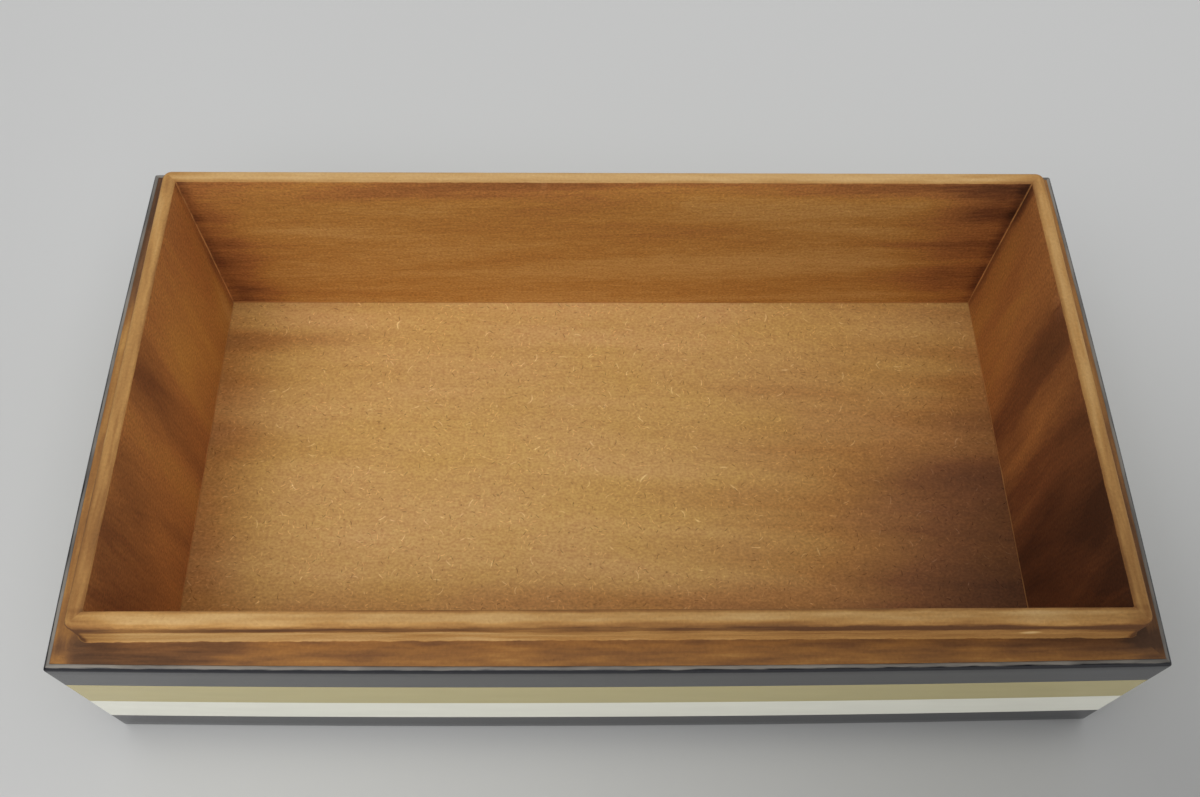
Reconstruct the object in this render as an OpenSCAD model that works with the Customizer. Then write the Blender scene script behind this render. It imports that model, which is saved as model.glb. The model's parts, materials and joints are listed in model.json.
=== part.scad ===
// Open box case. Four mitred fibreboard walls stand round a thin floor panel, and a lip
// is milled into their top edge for a lift-off lid. Four bands of glossy strip are glued
// round the outside, mitred at the corners. Millimetres, +Z up, +X along the length, with
// the origin at the middle of the underside.

/* [Case] */
// Length over the strips, from corner to corner
box_l = 254; // [180:1:330]
// Width over the strips, from corner to corner
box_w = 141; // [100:1:200]
// Thickness of the fibreboard walls
wall_t = 9; // [7:0.5:14]
// Outward swell of the long sides at their middle, left by the sander
swell_long = 1.1; // [0.4:0.1:2]
// Outward swell of the short sides at their middle
swell_short = 0.6; // [0.3:0.1:1.5]

/* [Lip] */
// Height of the lip above the shoulder that the lid sits on
lip_h = 9.5; // [4:0.5:14]
// Thickness of the lip
lip_t = 4; // [3:0.25:6]
// Radius of the lip's upright outer corners
lip_corner_r = 2.5; // [1.8:0.1:2.9]
// Radius of the lip's outer top edge
lip_edge_r = 1.5; // [0.4:0.1:1.7]

/* [Floor panel] */
// Thickness of the floor panel
floor_t = 3; // [2:0.5:6]
// Depth of the rebate under each wall that the panel's edge is glued into
rebate_d = 4; // [2:0.5:6]
// Gap between the panel's edge and the side of the rebate
panel_gap = 0.2; // [0.1:0.05:0.5]

/* [Bands] */
// Thickness of the strips
strip_t = 1.5; // [1.3:0.1:3]
// Height of the black band at the shoulder
top_band_h = 12.7; // [6:0.1:20]
// Height of the gold band
gold_band_h = 15; // [6:0.5:25]
// Height of the ivory band
ivory_band_h = 14.5; // [6:0.5:25]
// Height of the black band at the base
base_band_h = 10.8; // [6:0.1:20]
// Radius of the outer edge at the shoulder
top_edge_r = 1.2; // [0.3:0.1:1.2]
// Radius of the outer edge at the base
base_edge_r = 1; // [0.3:0.1:1.2]
// Radius of the upright outer corners
corner_r = 0.6; // [0.3:0.1:1]

/* [Hidden] */
// Levels of the four bands, from the base up
ivory_z = base_band_h;
gold_z = ivory_z + ivory_band_h;
top_z = gold_z + gold_band_h;
shoulder_z = top_z + top_band_h;

// Depth from the outer face of the strips to the inner face of the walls
side_t = strip_t + wall_t;
inner_l = box_l - 2 * side_t;
inner_w = box_w - 2 * side_t;

// Cutting tools run this far past what they cut
over = 3;
// Longest straight stretch of the swell
stretch_len = 24;
// Facets of a full turn on the routed roundings
round_fn = 48;
// Degrees between the flats of a strip's sanded edge
sanded_step = 22.5;

fibreboard = [0.55, 0.36, 0.19];
panel_board = [0.74, 0.57, 0.36];
black_resin = [0.12, 0.12, 0.13];
gold_resin = [0.66, 0.60, 0.36];
ivory_resin = [0.88, 0.86, 0.78];

// Each side is drawn as the front one, running along X with its face towards -Y,
// and is then turned to its place.
function side_turn(side) = side == "front" ? 0 : side == "right" ? 90 : side == "back" ? 180 : 270;
function is_long(side) = side == "front" || side == "back";
function side_len(side) = is_long(side) ? box_l : box_w;
function side_dist(side) = (is_long(side) ? box_w : box_l) / 2;
function side_swell(side) = is_long(side) ? swell_long : swell_short;

// Points along a side at a depth behind its face, from one mitre to the other, in
// straight stretches. The side swells most at its middle and not at all at its corners.
function stretches(side) = ceil(side_len(side) / stretch_len);
function swell_point(side, i, depth) =
    let (t = 2 * i / stretches(side) - 1)
    [t * (side_len(side) / 2 - depth), depth - side_dist(side) - side_swell(side) * (1 - t * t)];
function swell_line(side, depth) = [for (i = [0:stretches(side)]) swell_point(side, i, depth)];
function backwards(points) = [for (i = [len(points) - 1:-1:0]) points[i]];

module place(side) {
    rotate([0, 0, side_turn(side)]) children();
}

// The wedge between the two mitre cuts of a side, down to the inner face of its wall
module mitre_wedge(side, z, h) {
    half = side_len(side) / 2;
    face = -side_dist(side);
    translate([0, 0, z]) linear_extrude(height=h)
        polygon([
            [-half, face], [half, face],
            [half - side_t, face + side_t], [side_t - half, face + side_t]
        ]);
}

// A corner of stock with its quarter circle taken out, which cuts a rounded edge
module edge_cut(r) {
    difference() {
        square(r + over);
        circle(r=r, $fn=round_fn);
    }
}

// Eases the two upright outer corners of a strip
module eased(side, z, h) {
    difference() {
        children();
        for (end = [0, 1]) mirror([end, 0, 0])
            translate([side_len(side) / 2 - corner_r, corner_r - side_dist(side), z - over])
                linear_extrude(height=h + 2 * over) mirror([0, 1]) edge_cut(corner_r);
    }
}

// A strip of one band with square edges, bent along the swell and mitred at both ends
module strip(side, z, h) {
    eased(side, z, h) translate([0, 0, z]) linear_extrude(height=h)
        polygon(concat(swell_line(side, 0), backwards(swell_line(side, strip_t))));
}

// A strip with a sanded edge: its section, as pairs of depth and level, is carried along
// the swell from one mitre to the other
module sanded_strip(side, z, h, section) {
    n = stretches(side);
    m = len(section);
    points = [for (i = [0:n], s = section) let (p = swell_point(side, i, s[0])) [p[0], p[1], s[1]]];
    sides = [for (i = [0:n - 1], k = [0:m - 1]) let (next = (k + 1) % m)
        [i * m + k, i * m + next, (i + 1) * m + next, (i + 1) * m + k]];
    ends = [[for (k = [m - 1:-1:0]) k], [for (k = [0:m - 1]) n * m + k]];
    eased(side, z, h) polyhedron(points, concat(sides, ends));
}

// Depth and rise of the flats that stand for a rounded edge, from the face inwards
function sanded_edge(r) = [for (a = [0:sanded_step:90]) [r * (1 - cos(a)), r * sin(a)]];

// Section of the lip from a line inside it to its outer face, with its top edge rounded
module lip_section(depth) {
    difference() {
        square([depth, lip_h]);
        translate([depth - lip_edge_r, lip_h - lip_edge_r]) edge_cut(lip_edge_r);
    }
}

// The lip of one side: a straight run, and the outside of each rounded corner
module lip(side) {
    corner_x = side_len(side) / 2 - side_t + lip_t - lip_corner_r;
    corner_y = side_t - lip_t + lip_corner_r - side_dist(side);
    translate([0, side_t - side_dist(side), 0])
        rotate([90, 0, 90]) linear_extrude(height=2 * corner_x, center=true)
            mirror([1, 0]) lip_section(lip_t);
    for (end = [0, 1]) mirror([end, 0, 0])
        translate([corner_x, corner_y, 0]) rotate([0, 0, -90])
            rotate_extrude(angle=90, $fn=round_fn) lip_section(lip_corner_r);
}

// A wall: strips are glued to its outer face, its lip stands at the inner face, and the
// floor panel's rebate is cut into its lower inner edge
module wall(side) {
    half = side_len(side) / 2;
    inner_y = side_t - side_dist(side);
    color(fibreboard) place(side) {
        difference() {
            linear_extrude(height=shoulder_z)
                polygon(concat(
                    swell_line(side, strip_t),
                    [[half - side_t, inner_y], [side_t - half, inner_y]]
                ));
            translate([-half, inner_y - rebate_d, -over])
                cube([2 * half, rebate_d + over, floor_t + over]);
        }
        intersection() {
            translate([0, 0, shoulder_z]) lip(side);
            mitre_wedge(side, shoulder_z, lip_h);
        }
    }
}

// The floor panel fills the rebates and lies flush with the underside
module floor_panel() {
    edge = rebate_d - panel_gap;
    color(panel_board) translate([-inner_l / 2 - edge, -inner_w / 2 - edge, 0])
        cube([inner_l + 2 * edge, inner_w + 2 * edge, floor_t]);
}

// The black band at the shoulder, with its outer top edge rounded
module top_strip(side) {
    edge = [for (p = sanded_edge(top_edge_r)) [p[0], shoulder_z - top_edge_r + p[1]]];
    color(black_resin) place(side)
        sanded_strip(side, top_z, top_band_h,
            concat([[strip_t, top_z], [0, top_z]], edge, [[strip_t, shoulder_z]]));
}

module gold_strip(side) {
    color(gold_resin) place(side) strip(side, gold_z, gold_band_h);
}

module ivory_strip(side) {
    color(ivory_resin) place(side) strip(side, ivory_z, ivory_band_h);
}

// The black band at the base, with its outer bottom edge rounded
module base_strip(side) {
    edge = [for (p = sanded_edge(base_edge_r)) [p[0], base_edge_r - p[1]]];
    color(black_resin) place(side)
        sanded_strip(side, 0, base_band_h,
            concat([[strip_t, 0]], backwards(edge), [[0, base_band_h], [strip_t, base_band_h]]));
}

floor_panel();
wall("front");  // wall_front
wall("right");  // wall_right
wall("back");  // wall_back
wall("left");  // wall_left
top_strip("front");  // top_strip_front
top_strip("right");  // top_strip_right
top_strip("back");  // top_strip_back
top_strip("left");  // top_strip_left
gold_strip("front");  // gold_strip_front
gold_strip("right");  // gold_strip_right
gold_strip("back");  // gold_strip_back
gold_strip("left");  // gold_strip_left
ivory_strip("front");  // ivory_strip_front
ivory_strip("right");  // ivory_strip_right
ivory_strip("back");  // ivory_strip_back
ivory_strip("left");  // ivory_strip_left
base_strip("front");  // base_strip_front
base_strip("right");  // base_strip_right
base_strip("back");  // base_strip_back
base_strip("left");  // base_strip_left
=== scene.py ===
# %% [markdown]
# # An open fibreboard box with four glossy bands
#
# The real box is built on a bench from flat stock. Four walls of fibreboard are mitred
# and glued round a thin floor panel, a lip for a lift-off lid is milled into their top
# edge, the inside is wiped with brown stain, and four bands of cast resin strip (black,
# gold, ivory, black) are glued round the outside. This lesson dresses the plain solids
# of that box: each wall and strip is drawn again by carrying its section along the
# side, with enough points for worn and uneven edges, and each material starts from what
# the real one is.
#
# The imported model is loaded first. It is the frame that everything else is measured
# from, and it isn't moved or resized.

# %% Load the frame
import json
import math

import bmesh
import bpy
from mathutils import Matrix, Vector, noise

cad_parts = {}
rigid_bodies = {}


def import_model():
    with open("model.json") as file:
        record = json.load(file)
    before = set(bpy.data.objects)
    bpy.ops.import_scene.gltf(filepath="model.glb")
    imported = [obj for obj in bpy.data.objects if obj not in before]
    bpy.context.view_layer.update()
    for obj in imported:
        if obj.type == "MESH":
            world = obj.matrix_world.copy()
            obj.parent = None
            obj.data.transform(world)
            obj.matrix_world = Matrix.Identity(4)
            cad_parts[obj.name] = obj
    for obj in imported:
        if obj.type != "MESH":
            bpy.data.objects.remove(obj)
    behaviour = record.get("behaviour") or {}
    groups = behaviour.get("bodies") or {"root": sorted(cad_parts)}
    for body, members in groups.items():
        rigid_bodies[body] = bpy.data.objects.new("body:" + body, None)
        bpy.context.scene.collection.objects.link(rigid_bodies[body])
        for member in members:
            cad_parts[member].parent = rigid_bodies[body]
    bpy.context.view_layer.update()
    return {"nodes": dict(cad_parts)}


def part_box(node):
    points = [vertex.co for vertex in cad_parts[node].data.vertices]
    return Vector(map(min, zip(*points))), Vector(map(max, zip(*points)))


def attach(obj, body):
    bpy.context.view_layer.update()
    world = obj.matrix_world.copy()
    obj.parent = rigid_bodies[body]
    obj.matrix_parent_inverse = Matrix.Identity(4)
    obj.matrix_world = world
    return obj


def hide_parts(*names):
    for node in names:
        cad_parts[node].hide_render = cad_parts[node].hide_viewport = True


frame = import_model()

# %% [markdown]
# ## Sizes taken from the frame
#
# Blender works in metres here, and a bench works in millimetres, so one value turns the
# second into the first. The boxes of a few nodes give the sizes that the dressed pieces
# need: the corner where a wall meets its strips, the levels of the floor, the shoulder
# and the rim, and how far each side swells outwards at its middle, as a sander leaves it.

# %% Sizes of the box
MM = 0.001
SIDES = ("front", "right", "back", "left")

wall_low, wall_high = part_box("wall_front")
strip_low, strip_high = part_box("top_strip_front")

strip_t = wall_low.y - strip_low.y
wall_corner = Vector((wall_high.x, -strip_high.y))
half_size = wall_corner + Vector((strip_t, strip_t))
inner_depth = half_size.y + wall_high.y
inner_half = half_size - Vector((inner_depth, inner_depth))

swell = {
    "front": -wall_low.y - wall_corner.y,
    "right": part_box("wall_right")[1].x - wall_corner.x,
}
swell["back"], swell["left"] = swell["front"], swell["right"]

floor_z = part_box("floor_panel")[1].z
shoulder_z = strip_high.z
rim_z = wall_high.z

print("corner of the strips", half_size / MM, "swell", {s: round(v / MM, 2) for s, v in swell.items()})
print("floor, shoulder and rim at", [round(z / MM, 2) for z in (floor_z, shoulder_z, rim_z)], "mm")

# %% [markdown]
# ## Depths and radii taken from the frame
#
# A router and a sander leave rounded edges, and a node's box doesn't tell their radii,
# but its points do. The outermost points of the lip give the depth of its face, where
# its straight run ends gives the radius of its upright corners, and where its flat top
# begins gives the radius of its edge. The strips are measured in the same way.

# %% Depths and radii
NEAR = 0.01 * MM


def points_of(node, low=-math.inf, high=math.inf):
    """The points of a node between two levels."""
    return [v.co for v in frame["nodes"][node].data.vertices if low < v.co.z < high]


lip_points = points_of("wall_front", low=shoulder_z + NEAR)
lip_y = min(p.y for p in lip_points)
lip_depth = half_size.y + lip_y
lip_edge_r = half_size.y + min(p.y for p in lip_points if p.z > rim_z - NEAR) - lip_depth
lip_run = max(p.x for p in lip_points if p.y < lip_y + NEAR)
lip_corner_r = half_size.x - lip_depth - lip_run
rebate_depth = half_size.y + max(p.y for p in points_of("wall_front", high=NEAR))

base_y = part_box("base_strip_front")[0].y
base_edge_r = min(p.y for p in points_of("base_strip_front", high=NEAR)) - base_y
top_edge_r = min(p.y for p in points_of("top_strip_front", low=shoulder_z - NEAR)) - strip_low.y
# A rounded corner meets its mitre this share of its radius short of the sharp corner.
SHORT_OF_CORNER = 1 - math.sqrt(0.5)
corner_ease = (half_size.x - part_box("gold_strip_front")[1].x) / SHORT_OF_CORNER

sizes = {
    "strip": strip_t, "inner face": inner_depth, "rebate": rebate_depth, "lip face": lip_depth,
    "lip edge": lip_edge_r, "lip corner": lip_corner_r, "top edge": top_edge_r,
    "base edge": base_edge_r, "strip corner": corner_ease,
}
print({name: round(value / MM, 2) for name, value in sizes.items()}, "mm")

# %% [markdown]
# ## The plan of a side
#
# A side could be extruded and cut, but a worn edge needs points that can be nudged one
# by one. So each piece is drawn as rings: a ring is one corner of the piece's section,
# carried along the side from one mitre to the other at its own depth behind the outer
# face. A ring swells outwards at the middle of the side, and it may turn a rounded
# corner before it meets the mitre. All sides are drawn as the front one and then turned.

# %% Rings carried along a side
SIDE_TURN = {"front": 0, "right": 90, "back": 180, "left": 270}


def ring(depth, z, corner_r=0.0, swell_share=0.0, wear_in=0.0, wear_down=0.0, wear_mm=4.0):
    """One corner of a section: where it runs, how far wear moves it in and down, and how long a dent is."""
    return {
        "depth": depth, "z": z, "corner_r": corner_r, "swell_share": swell_share,
        "wear_in": wear_in, "wear_down": wear_down, "wear_mm": wear_mm,
    }


def side_half(side):
    """Half the length of a side."""
    return half_size.x if side in ("front", "back") else half_size.y


def side_dist(side):
    """Distance from the middle of the box to a side's corners, straight across."""
    return half_size.y if side in ("front", "back") else half_size.x


def plan_point(side, depth, corner_r, swell_share, along, turn):
    """A point of the front side's plan: along runs from -1 to 1, and turn is the angle round a corner."""
    straight = side_half(side) - depth - corner_r
    out = swell[side] * swell_share * (1 - along * along)
    x = along * straight + math.copysign(corner_r * math.sin(turn), along)
    return Vector((x, depth - side_dist(side) - out + corner_r * (1 - math.cos(turn)), 0.0))


most_forward = plan_point("front", 0, 0, 1, 0, 0)
print("the front face is", round(-most_forward.y / MM, 2), "mm from the middle of the box")

# %% [markdown]
# ## The marks of hand work
#
# Hand work shows as small departures from the straight line. Points moved at random
# would pull a mitre open, because each side would draw its own numbers. So the wear
# comes from a noise that is read at the place itself, and two sides that meet at a
# mitre agree there. Each ring has points at its stations along the side, and a few more
# where it turns a corner.

# %% Stations and wear
CORNER_STEPS = 6
MITRE = math.radians(45)
INWARDS_SHIFT = Vector((7.3, 0, 0))
DOWN_SHIFT = Vector((0, 3.1, 0))


def stations(side, step):
    """The places along a side where rings have points: a corner, the straight run, the other corner."""
    count = round(2 * side_half(side) / step)
    corner = [MITRE * (1 - k / CORNER_STEPS) for k in range(CORNER_STEPS)]
    run = [(-1 + 2 * i / count, 0.0) for i in range(count + 1)]
    return [(-1.0, a) for a in corner] + run + [(1.0, a) for a in reversed(corner)]


def worn_point(r, side, along, turn):
    """The ring's point with its wear: it is moved inwards and down by a noise read at its place."""
    turned = Matrix.Rotation(math.radians(SIDE_TURN[side]), 3, "Z")
    place = turned @ plan_point(side, r["depth"], r["corner_r"], r["swell_share"], along, turn)
    spot = (place + Vector((0, 0, r["z"]))) / (r["wear_mm"] * MM)
    inwards = r["wear_in"] * (0.5 + 0.5 * noise.noise(spot + INWARDS_SHIFT))
    down = r["wear_down"] * (0.5 + 0.5 * noise.noise(spot + DOWN_SHIFT))
    point = turned @ plan_point(side, r["depth"] + inwards, r["corner_r"], r["swell_share"], along, turn)
    return point + Vector((0, 0, r["z"] - down))


print("a long side has", len(stations("front", 1 * MM)), "stations at a 1 mm step")

# %% [markdown]
# ## The board map
#
# A plank keeps its grain when it is turned, and so should a pattern. A UV map called
# board keeps real lengths on each piece: along the side, and round the section. Grain
# and stain can then be given in millimetres, whatever way a face looks. A second value,
# the distance to the nearer mitre, lets a finish change beside a joint.

# %% Lengths on a piece
def section_lengths(rings):
    """Length round the section at each ring, and once more at the first ring when it closes."""
    lengths = [0.0]
    for a, b in zip(rings, rings[1:] + rings[:1]):
        lengths.append(lengths[-1] + math.hypot(b["depth"] - a["depth"], b["z"] - a["z"]))
    return lengths


def board_run(side, p):
    """Length along a side. Both short sides are measured from the front to the back, and each side
    starts a metre further on, so that no two show the same patch of a pattern."""
    way = -1 if side == "left" else 1
    return way * p.x + SIDES.index(side)


def to_nearer_mitre(side, p):
    """Distance in millimetres from a point of the plan to the nearer mitre."""
    return (side_half(side) - abs(p.x) - side_dist(side) - p.y) / math.sqrt(2) / MM


square = [ring(0, 0), ring(1, 0), ring(1, 1), ring(0, 1)]
print("a square with sides of 1 is", section_lengths(square)[-1], "round")

# %% [markdown]
# ## From rings to a mesh
#
# At each station stands a column of points, one for each ring. Neighbouring columns are
# joined with quads, and the two mitres are closed with one face each. Points that fall
# on each other, as they do where a ring turns a corner of no radius, are merged.
#
# A curve with a bevel would sweep a section too, but its corners don't meet in a clean
# mitre, and it has no points to wear.

# %% Sweep a section
MERGE = 0.0005 * MM


def add_columns(mesh, mitre, side, rings, step):
    """A column of points at each station, and how far along the side each point lies."""
    columns, runs = [], []
    for along, turn in stations(side, step):
        plans = [plan_point(side, r["depth"], r["corner_r"], r["swell_share"], along, turn) for r in rings]
        runs.append([board_run(side, p) for p in plans])
        columns.append([mesh.verts.new(worn_point(r, side, along, turn)) for r in rings])
        for vert, p in zip(columns[-1], plans):
            vert[mitre] = to_nearer_mitre(side, p)
    return columns, runs


def add_quads(mesh, board, columns, runs, lengths):
    """Quads between neighbouring columns, with the board map at their corners."""
    count = len(columns[0])
    for i in range(len(columns) - 1):
        for k in range(count):
            n = (k + 1) % count
            corners = ((i, k), (i, n), (i + 1, n), (i + 1, k))
            face = mesh.faces.new([columns[a][b] for a, b in corners])
            vs = (lengths[k], lengths[k + 1], lengths[k + 1], lengths[k])
            for loop, (a, b), v in zip(face.loops, corners, vs):
                loop[board].uv = (runs[a][b], v)


def sweep(side, rings, step):
    """The mesh of a piece that follows its rings along a side."""
    mesh = bmesh.new()
    board = mesh.loops.layers.uv.new("board")
    mitre = mesh.verts.layers.float.new("mitre")
    columns, runs = add_columns(mesh, mitre, side, rings, step)
    add_quads(mesh, board, columns, runs, section_lengths(rings))
    mesh.faces.new(list(reversed(columns[0])))
    mesh.faces.new(columns[-1])
    bmesh.ops.remove_doubles(mesh, verts=mesh.verts, dist=MERGE)
    bmesh.ops.recalc_face_normals(mesh, faces=mesh.faces)
    return mesh


trial = sweep("right", [ring(0, 0), ring(strip_t, 0), ring(strip_t, strip_t)], 10 * MM)
print("a trial sweep has", len(trial.verts), "points and", len(trial.faces), "faces")
trial.free()

# %% [markdown]
# ## Lines and curves of a section
#
# A section is made of straight lines and quarter circles. The lines get points at a
# steady gap, close enough to take the wear, and the circles get enough of them for the
# light to slide smoothly round the edge.

# %% Lines and curves
def spaced(start, end, gap):
    """Values from start to end, both included, no further apart than gap."""
    count = max(1, math.ceil(abs(end - start) / gap))
    return [start + (end - start) * i / count for i in range(count + 1)]


def arc(depth, z, r, start, end, count):
    """Points of a quarter circle in a section, between two angles in degrees (0 is inwards, 90 is up)."""
    angles = [math.radians(start + (end - start) * i / count) for i in range(count + 1)]
    return [(depth + r * math.cos(a), z + r * math.sin(a)) for a in angles]


outer_edge = arc(0, 0, 1, 180, 90, 2)
print("an outer top edge runs through", [(round(d, 3), round(z, 3)) for d, z in outer_edge])

# %% [markdown]
# ## The walls' section
#
# A wall is a 9 mm board. Going round its section from the outer bottom corner: the face
# that the strips are glued to, the shoulder that the lid sits on, the lip with its
# rounded outer edge, the inner face, and the rebate that holds the floor panel. A router
# leaves a tiny fillet at the foot of the lip, and fibreboard furs up where it is cut, so
# the shoulder and the lip are a few hundredths of a millimetre from flat.

# %% Rings of a wall
FOOT_R = 0.35 * MM
ARRIS = 0.25 * MM
FUR = {
    "shoulder": 0.12 * MM, "lip face": 0.16 * MM, "lip edge": 0.05 * MM,
    "rim": 0.07 * MM, "inner arris": 0.1 * MM,
}


def lip_corner(depth):
    """Radius of the lip's upright corner, which shrinks from its face inwards."""
    return max(0.0, lip_corner_r - (depth - lip_depth))


def shoulder_rings():
    """The outer face, the shoulder, and the fillet at the lip's foot."""
    foot_depth = lip_depth - FOOT_R
    rings = [ring(strip_t, 0, swell_share=1)]
    for depth in spaced(strip_t, foot_depth, 1.0 * MM):
        share = (depth - strip_t) / (foot_depth - strip_t)
        wear = FUR["shoulder"] * share * (1 - share)
        rings.append(ring(depth, shoulder_z, lip_corner_r * share, 1 - share, wear_down=wear))
    for depth, z in arc(foot_depth, shoulder_z + FOOT_R, FOOT_R, -90, 0, 3)[1:]:
        rings.append(ring(depth, z, lip_corner_r))
    return rings


def lip_rings():
    """The lip's face, its rounded outer edge, and its flat top."""
    edge_z = rim_z - lip_edge_r
    rings = []
    for z in spaced(shoulder_z + FOOT_R, edge_z, 1.2 * MM)[1:]:
        rings.append(ring(lip_depth, z, lip_corner_r, wear_in=FUR["lip face"], wear_mm=6))
    for depth, z in arc(lip_depth + lip_edge_r, edge_z, lip_edge_r, 180, 90, 6)[1:]:
        rings.append(ring(depth, z, lip_corner(depth), wear_down=FUR["lip edge"]))
    for depth in spaced(lip_depth + lip_edge_r, inner_depth - ARRIS, 0.8 * MM)[1:]:
        rings.append(ring(depth, rim_z, lip_corner(depth), wear_down=FUR["rim"]))
    return rings


def inside_rings():
    """The rim's inner arris, the inner face, and the rebate for the floor panel."""
    rings = [ring(inner_depth, rim_z - ARRIS, wear_down=FUR["inner arris"], wear_mm=2)]
    for z in spaced(rim_z - ARRIS, floor_z + ARRIS, 6 * MM)[1:]:
        rings.append(ring(inner_depth, z))
    return rings + [ring(inner_depth - ARRIS, floor_z), ring(rebate_depth, floor_z), ring(rebate_depth, 0)]


wall_section = shoulder_rings() + lip_rings() + inside_rings()
wall_lengths = section_lengths(wall_section)
print("a wall's section has", len(wall_section), "rings and is", round(wall_lengths[-1] / MM, 1), "mm round")

# %% [markdown]
# ## The gold and the ivory strip
#
# The strips are 1.5 mm of cast resin, glued edge to edge and sanded together, so their
# faces form one surface, and each corner of the box is eased a little. Their arrises
# are broken by only a few hundredths of a millimetre, enough for a hairline between two
# bands. The gold and the ivory strip have a plain square section.

# %% Rings of the gold and the ivory strip
HAIRLINE = 0.06 * MM
BANDS = ("base_strip", "ivory_strip", "gold_strip", "top_strip")
levels = {band: (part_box(band + "_front")[0].z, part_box(band + "_front")[1].z) for band in BANDS}


def face_ring(depth, z):
    """A ring on the outer face or on a rounded edge of a strip."""
    return ring(depth, z, max(0.0, corner_ease - depth / 2), 1)


def back_rings(low, high):
    """The back of a strip, which is glued to the wall."""
    return [ring(strip_t, high, swell_share=1), ring(strip_t, low, swell_share=1)]


def plain_strip_rings(low, high):
    """A square section with hairline arrises on its face."""
    face = [face_ring(0, z) for z in spaced(low + HAIRLINE, high - HAIRLINE, 4 * MM)]
    return [face_ring(HAIRLINE, low)] + face + [face_ring(HAIRLINE, high)] + back_rings(low, high)


strip_rings = {
    "ivory_strip": plain_strip_rings(*levels["ivory_strip"]),
    "gold_strip": plain_strip_rings(*levels["gold_strip"]),
}
print("levels in mm:", {band: [round(z / MM, 1) for z in pair] for band, pair in levels.items()})

# %% [markdown]
# ## The black strips
#
# The black strip at the base has its bottom edge rounded over, and the one at the
# shoulder its top edge. That one was sanded flush with the board, and its inner edge is
# chipped in places, where the sander caught it: there the wear is deep and its dents
# are only about a millimetre long.

# %% Rings of the black strips
def base_strip_rings(low, high):
    """At the base: the outer bottom edge is rounded over."""
    edge = [face_ring(d, z) for d, z in arc(base_edge_r, low + base_edge_r, base_edge_r, 270, 180, 6)]
    face = [face_ring(0, z) for z in spaced(low + base_edge_r, high - HAIRLINE, 4 * MM)[1:]]
    return edge + face + [face_ring(HAIRLINE, high)] + back_rings(low, high)


def top_strip_rings(low, high):
    """At the shoulder: the outer top edge is rounded over and the inner edge is chipped."""
    face = [face_ring(0, z) for z in spaced(low + HAIRLINE, high - top_edge_r, 3 * MM)]
    edge = [face_ring(d, z) for d, z in arc(top_edge_r, high - top_edge_r, top_edge_r, 180, 90, 8)[1:]]
    chipped = [
        ring(strip_t - 0.1 * MM, high, swell_share=1, wear_down=0.08 * MM, wear_mm=1.5),
        ring(strip_t, high - 0.02 * MM, swell_share=1, wear_down=0.3 * MM, wear_mm=1.1),
    ]
    return [face_ring(HAIRLINE, low)] + face + edge + chipped + [ring(strip_t, low, swell_share=1)]


strip_rings["base_strip"] = base_strip_rings(*levels["base_strip"])
strip_rings["top_strip"] = top_strip_rings(*levels["top_strip"])
print("rings of each strip:", {band: len(rings) for band, rings in strip_rings.items()})

# %% [markdown]
# ## Colours
#
# A colour is written the way a paint chart gives it, as an sRGB hex value. The shader
# mixes light, so it needs linear numbers, and one function turns the one into the other.

# %% Colours
def colour(hex_value):
    """Linear RGBA from an sRGB hex value."""
    parts = [int(hex_value[i : i + 2], 16) / 255 for i in (1, 3, 5)]
    linear = [p / 12.92 if p <= 0.04045 else ((p + 0.055) / 1.055) ** 2.4 for p in parts]
    return (*linear, 1.0)


print("mid grey is", [round(c, 3) for c in colour("#808080")], "when linear")

# %% [markdown]
# ## Nodes
#
# A material is a tree of nodes. It could be drawn by hand in the shader editor, but a
# script can be read, and its millimetres can be checked. One function adds a node with
# its settings and its links and hands back the socket to link on from, so a material
# reads from top to bottom.
#
# Inputs go by their name, or by their number where a node has several of one name. A
# Mix node takes its share in 0, two numbers in 2 and 3 or two colours in 6 and 7, and
# hands the mixed colour back at 2.

# %% Nodes
def add(tree, kind, inputs=None, out=0, **settings):
    """Adds a node. Each input is given a value or the socket that feeds it."""
    made = tree.nodes.new("ShaderNode" + kind)
    for key, value in settings.items():
        setattr(made, key, value)
    for key, value in (inputs or {}).items():
        if isinstance(value, bpy.types.NodeSocket):
            tree.links.new(value, made.inputs[key])
        else:
            made.inputs[key].default_value = value
    return made.outputs[out] if made.outputs else made


def new_material(name):
    """A material with an empty tree, its surface shader and its output."""
    material = bpy.data.materials.new(name)
    material.use_nodes = True
    tree = material.node_tree
    tree.nodes.clear()
    surface = add(tree, "BsdfPrincipled")
    add(tree, "OutputMaterial", {"Surface": surface})
    return material, tree, surface.node


blank, blank_tree, _ = new_material("blank")
print("a new material has", [n.bl_label for n in blank_tree.nodes])
bpy.data.materials.remove(blank)

# %% [markdown]
# ## Mottle
#
# Fibreboard is wood ground to fibres and pressed with glue. From a little way off it is
# a soft mottle, and so are stain, dust and polish. A noise gives it. Its blotches are
# sized in millimetres on the board map, or on the box itself where there is no map, and
# a long and narrow blotch is a streak.

# %% Places and mottle
def board_place(tree):
    """The board map in millimetres."""
    board = add(tree, "UVMap", uv_map="board")
    return add(tree, "VectorMath", {0: board, "Scale": 1 / MM}, operation="SCALE")


def box_place(tree):
    """The place on the box in millimetres."""
    own = add(tree, "TexCoord", out=3)
    return add(tree, "VectorMath", {0: own, "Scale": 1 / MM}, operation="SCALE")


def mottle(tree, place, long_mm, wide_mm, detail=2.0, tilt=0.0, wave=0.0):
    """Noise whose blotches are long_mm by wide_mm, turned by tilt degrees, and more or less wavy."""
    turned = add(tree, "VectorRotate", {"Vector": place, "Angle": math.radians(-tilt)},
                 rotation_type="Z_AXIS")
    stretched = add(tree, "VectorMath", {0: turned, 1: (1 / long_mm, 1 / wide_mm, 1)}, operation="MULTIPLY")
    return add(tree, "TexNoise", {"Vector": stretched, "Scale": 1.0, "Detail": detail, "Distortion": wave})


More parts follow.
